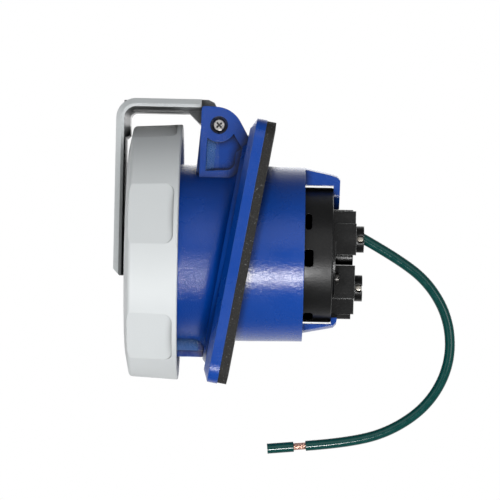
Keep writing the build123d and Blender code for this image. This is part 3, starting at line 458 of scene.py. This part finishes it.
# The near and the far side alike, for the ears and the ridge
axes = tree.nodes.new("ShaderNodeSeparateXYZ")
outward = tree.nodes.new("ShaderNodeMath")
outward.operation = "ABSOLUTE"
both_sides = tree.nodes.new("ShaderNodeCombineXYZ")
tree.links.new(shape, axes.inputs[0])
tree.links.new(axes.outputs["X"], both_sides.inputs["X"])
tree.links.new(axes.outputs["Y"], outward.inputs[0])
tree.links.new(outward.outputs[0], both_sides.inputs["Y"])
tree.links.new(axes.outputs["Z"], both_sides.inputs["Z"])
ear_strip = box_mask(tree, both_sides.outputs[0], *ear_strip_box)
ear_floor = box_mask(tree, both_sides.outputs[0], *ear_floor_box)
ridge_side = box_mask(tree, both_sides.outputs[0], *ridge_side_box)
either = tree.nodes.new("ShaderNodeMath")
tree.links.new(ear_strip, either.inputs[0])
tree.links.new(ridge_side, either.inputs[1])
coarse = either.outputs[0]
housing_grain = mixed(tree, barrel, front_grain, barrel_grain)
housing_grain = mixed(tree, ear_floor, housing_grain, ear_floor_grain)
tree.links.new(mixed(tree, coarse, housing_grain, coarse_grain), surface.inputs["Grain Depth"])
tree.links.new(mixed(tree, barrel, front_ripple, barrel_ripple), surface.inputs["Ripple Depth"])
tree.links.new(mixed(tree, barrel, front_rough, barrel_rough), tree.nodes["roughness"].inputs[1])
tree.links.new(mixed(tree, coarse, housing_colour, coarse_colour), surface.inputs["Colour"])
nodes["housing"].data.materials[0] = housing_blue

# Flange gasket: a frame die-cut from sheet of closed-cell foam, dark grey, that the flange's screws
# clamp against the panel. Its cut edge shows open pores, darker in their pits as painted shade, and pale
# specks that are painted glints.
foam_rough = 0.78
pore_size = 1500
glint_size = 1500
drift_size = 160
pore_at, skin_at = 0.10, 0.75
pore_colour = (0.006, 0.006, 0.006, 1)
skin_colour = (0.020, 0.020, 0.019, 1)
warm_colour = (1.0, 0.86, 0.70, 1)
glint_colour = (0.16, 0.16, 0.155, 1)
glint_from, glint_to = 0.69, 0.76
foam_strength = 0.8
foam_height = 0.0002
foam = bpy.data.materials.new("gasket_foam")
foam.use_nodes = True
tree = foam.node_tree
shader = tree.nodes["Principled BSDF"]
shader.inputs["Roughness"].default_value = foam_rough
shape = tree.nodes.new("ShaderNodeTexCoord")
pores = tree.nodes.new("ShaderNodeTexVoronoi")
pores.inputs["Scale"].default_value = pore_size
glint_specks = tree.nodes.new("ShaderNodeTexNoise")
glint_specks.inputs["Scale"].default_value = glint_size
glint_specks.inputs["Detail"].default_value = 1
drift = tree.nodes.new("ShaderNodeTexNoise")
drift.inputs["Scale"].default_value = drift_size
for texture in (pores, glint_specks, drift):
    tree.links.new(shape.outputs["Object"], texture.inputs["Vector"])
# The pores' pits are darker, as painted shade, and the skin between them is paler
tone = tree.nodes.new("ShaderNodeValToRGB")
tone.color_ramp.elements[0].position = pore_at
tone.color_ramp.elements[0].color = pore_colour
tone.color_ramp.elements[1].position = skin_at
tone.color_ramp.elements[1].color = skin_colour
tree.links.new(pores.outputs["Distance"], tone.inputs[0])
warm = tree.nodes.new("ShaderNodeMix")
warm.data_type = "RGBA"
warm.blend_type = "MULTIPLY"
warm.inputs[7].default_value = warm_colour
tree.links.new(drift.outputs["Fac"], warm.inputs["Factor"])
tree.links.new(tone.outputs[0], warm.inputs[6])
# Pale specks: painted glints, where the cut edge would sparkle
glint_fac = tree.nodes.new("ShaderNodeMapRange")
glint_fac.inputs["From Min"].default_value = glint_from
glint_fac.inputs["From Max"].default_value = glint_to
tree.links.new(glint_specks.outputs["Fac"], glint_fac.inputs["Value"])
with_glints = tree.nodes.new("ShaderNodeMix")
with_glints.data_type = "RGBA"
with_glints.inputs[7].default_value = glint_colour
tree.links.new(glint_fac.outputs[0], with_glints.inputs["Factor"])
tree.links.new(warm.outputs[2], with_glints.inputs[6])
tree.links.new(with_glints.outputs[2], shader.inputs["Base Color"])
foam_bump = tree.nodes.new("ShaderNodeBump")
foam_bump.inputs["Strength"].default_value = foam_strength
foam_bump.inputs["Distance"].default_value = foam_height
tree.links.new(pores.outputs["Distance"], foam_bump.inputs["Height"])
tree.links.new(foam_bump.outputs[0], shader.inputs["Normal"])
nodes["flange_gasket"].data.materials[0] = foam

# Contact sleeves and their terminals: turned brass under a pale nickel plate, dulled in patches. The
# black carrier holds the ground sleeve and the two line sleeves.
brass = moulded_material(
    "contact_brass", 0.34, metallic=1.0, Colour=(0.50, 0.47, 0.42), Patch_Colour=(0.32, 0.28, 0.22),
    Patch_Size=300, Patch_Amount=0.5, Edge_Colour=(0.80, 0.77, 0.70), Edge_Amount=0.4, Edge=0.0002,
    Crevice=1.5, Crevice_Reach=0.002, Grain_Size=2500, Grain_Depth=0.08,
)
for name in ("ground_sleeve", "line_1_sleeve", "line_2_sleeve"):
    nodes[name].data.materials[0] = brass

# Contact carrier and terminal cover: black glass-filled thermoset, moulded, with pale painted highlights
# on its edges and painted shade in its crevices.
# The carrier stands inside the collar, and the cover closes the drum at the rear under three screws.
insert_black = moulded_material(
    "insert_black", 0.31, specular=0.36, Colour=(0.0045, 0.0045, 0.0045),
    Patch_Colour=(0.010, 0.010, 0.010), Patch_Size=90, Patch_Amount=0.6,
    Edge_Colour=(0.32, 0.325, 0.325), Edge_Amount=0.85, Edge=0.0005, Crevice=4.0, Crevice_Reach=0.008,
    Grain_Size=1200, Grain_Depth=0.22, Ripple_Size=350, Ripple_Depth=0.20,
)
for name in ("terminal_cover", "contact_carrier"):
    nodes[name].data.materials[0] = insert_black

# Drum: the same black thermoset with fainter painted highlights on its edges, which the housing's
# hook and catch hold in the barrel. The floors of its slots are painted black, with no gloss, as painted
# shade, so the slots look as dark as openings onto the inside; its crevices get painted shade too.
drum_colour = (0.0055, 0.0055, 0.0055)
slot_shade_colour = (0.0, 0.0, 0.0)
slot_box = ((0.0306, 0, 0), (0.0034, 0.0351, 0.0351))
slot_from_r, slot_to_r = 0.0354, 0.0350
drum_black = moulded_material(
    "drum_black", 0.37, specular=0.38, Patch_Size=90, Patch_Amount=0.0, Edge_Colour=(0.10, 0.10, 0.10),
    Edge_Amount=0.25, Edge=0.0004, Crevice=3.0, Crevice_Reach=0.006, Grain_Size=1200, Grain_Depth=0.22,
    Ripple_Size=350, Ripple_Depth=0.20,
)
tree = drum_black.node_tree
shape = tree.nodes.new("ShaderNodeTexCoord")
slot_place = box_mask(tree, shape.outputs["Object"], *slot_box)
flat_place = tree.nodes.new("ShaderNodeVectorMath")
flat_place.operation = "MULTIPLY"
flat_place.inputs[1].default_value = (0, 1, 1)
tree.links.new(shape.outputs["Object"], flat_place.inputs[0])
radius = tree.nodes.new("ShaderNodeVectorMath")
radius.operation = "LENGTH"
tree.links.new(flat_place.outputs[0], radius.inputs[0])
sunk = tree.nodes.new("ShaderNodeMapRange")
sunk.inputs["From Min"].default_value = slot_from_r
sunk.inputs["From Max"].default_value = slot_to_r
tree.links.new(radius.outputs["Value"], sunk.inputs["Value"])
# Slot floors: painted shade, black and without gloss
slot_shade_mask = tree.nodes.new("ShaderNodeMath")
slot_shade_mask.operation = "MULTIPLY"
tree.links.new(slot_place, slot_shade_mask.inputs[0])
tree.links.new(sunk.outputs[0], slot_shade_mask.inputs[1])
tree.links.new(mixed(tree, slot_shade_mask.outputs[0], drum_colour, slot_shade_colour), tree.nodes["surface"].inputs["Colour"])
tree.links.new(slot_shade_mask.outputs[0], tree.nodes["Principled BSDF"].inputs["Metallic"])
nodes["terminal_body"].data.materials[0] = drum_black

# Cover screws and clamp screws: steel with a black oxide finish, brighter on the edges, partly rubbed
# and partly as painted highlight, and darkened in the recesses by painted shade. Three hold the cover on
# the drum, and one in each terminal clamps the wire.
black_oxide = moulded_material(
    "black_oxide", 0.36, metallic=1.0, Colour=(0.07, 0.068, 0.066), Patch_Colour=(0.14, 0.13, 0.12),
    Patch_Size=700, Patch_Amount=0.5, Edge_Colour=(0.30, 0.30, 0.29), Edge_Amount=0.5, Edge=0.0002,
    Crevice=2.0, Crevice_Reach=0.001, Grain_Size=2500, Grain_Depth=0.1,
)
for name in ("cover_screws", "clamp_screws"):
    nodes[name].data.materials[0] = black_oxide

# Hinge screw and nut, pivot stud, washer and nut, wire plates and contact springs: turned or pressed
# steel with a bright zinc plate, darkened in the recesses by painted shade. They are screwed together or
# sprung in place.
steel = moulded_material(
    "steel", 0.28, metallic=1.0, Colour=(0.78, 0.76, 0.74), Patch_Colour=(0.48, 0.44, 0.40),
    Patch_Size=500, Patch_Amount=0.5, Edge_Colour=(0.85, 0.84, 0.82), Edge_Amount=0.4, Edge=0.0002,
    Crevice=3.0, Crevice_Reach=0.0016, Grain_Size=2500, Grain_Depth=0.2,
)
for name in (
    "cap_pivot_stud", "pivot_washer", "pivot_nut", "hinge_screw", "hinge_nut", "wire_plates",
    "ground_spring", "line_1_spring", "line_2_spring",
):
    nodes[name].data.materials[0] = steel

# Twist cap: a light grey moulding, matt, with a very fine grain and six flats for the grip. It turns on
# the pivot stud, and its lugs go behind those of the collar.
nodes["cap"].data.materials[0] = moulded_material(
    "cap_grey", 0.48, Colour=(0.645, 0.67, 0.675), Patch_Colour=(0.61, 0.635, 0.635), Patch_Size=25,
    Patch_Amount=0.4, Edge_Colour=(0.72, 0.74, 0.74), Edge_Amount=0.4, Edge=0.0006, Crevice=0.8,
    Crevice_Reach=0.004, Grain_Size=1500, Grain_Depth=0.06, Ripple_Size=120, Ripple_Depth=0.05,
)

# Cap seal: a flat ring of black rubber, matt, glued to the cap's floor, where it meets the front of
# the collar
nodes["cap_seal"].data.materials[0] = moulded_material(
    "seal_rubber", 0.6, Colour=(0.014, 0.014, 0.014), Patch_Colour=(0.03, 0.03, 0.03), Patch_Size=500,
    Patch_Amount=0.5, Edge=0.0003, Grain_Size=2000, Grain_Depth=0.5,
)

# Cap arm: a moulding in the same light grey, glossier, with a channel along its inner side whose shade is
# painted: a far-reaching painted shade darkens it, and its edges are paler as painted highlight. The hinge
# screw holds it between the ears, and the pivot stud joins the cap to it.
nodes["cap_arm"].data.materials[0] = moulded_material(
    "arm_grey", 0.34, Colour=(0.68, 0.71, 0.715), Patch_Colour=(0.63, 0.655, 0.66), Patch_Size=40,
    Patch_Amount=0.4, Edge_Colour=(0.80, 0.82, 0.82), Edge_Amount=0.6, Edge=0.0007, Crevice=3.2,
    Crevice_Reach=0.026, Grain_Size=1500, Grain_Depth=0.10, Ripple_Size=150, Ripple_Depth=0.05,
)

# Thrust washer: white acetal, punched from sheet, slippery and slightly waxy. It lies on the pivot stud
# between the arm and the cap.
nodes["pivot_thrust_washer"].data.materials[0] = moulded_material(
    "slide_white", 0.38, Colour=(0.72, 0.72, 0.69), Patch_Colour=(0.64, 0.64, 0.60), Patch_Size=400,
    Patch_Amount=0.5, Edge_Colour=(0.80, 0.80, 0.78), Edge_Amount=0.3, Edge=0.0002, Grain_Size=1800,
    Grain_Depth=0.08,
)
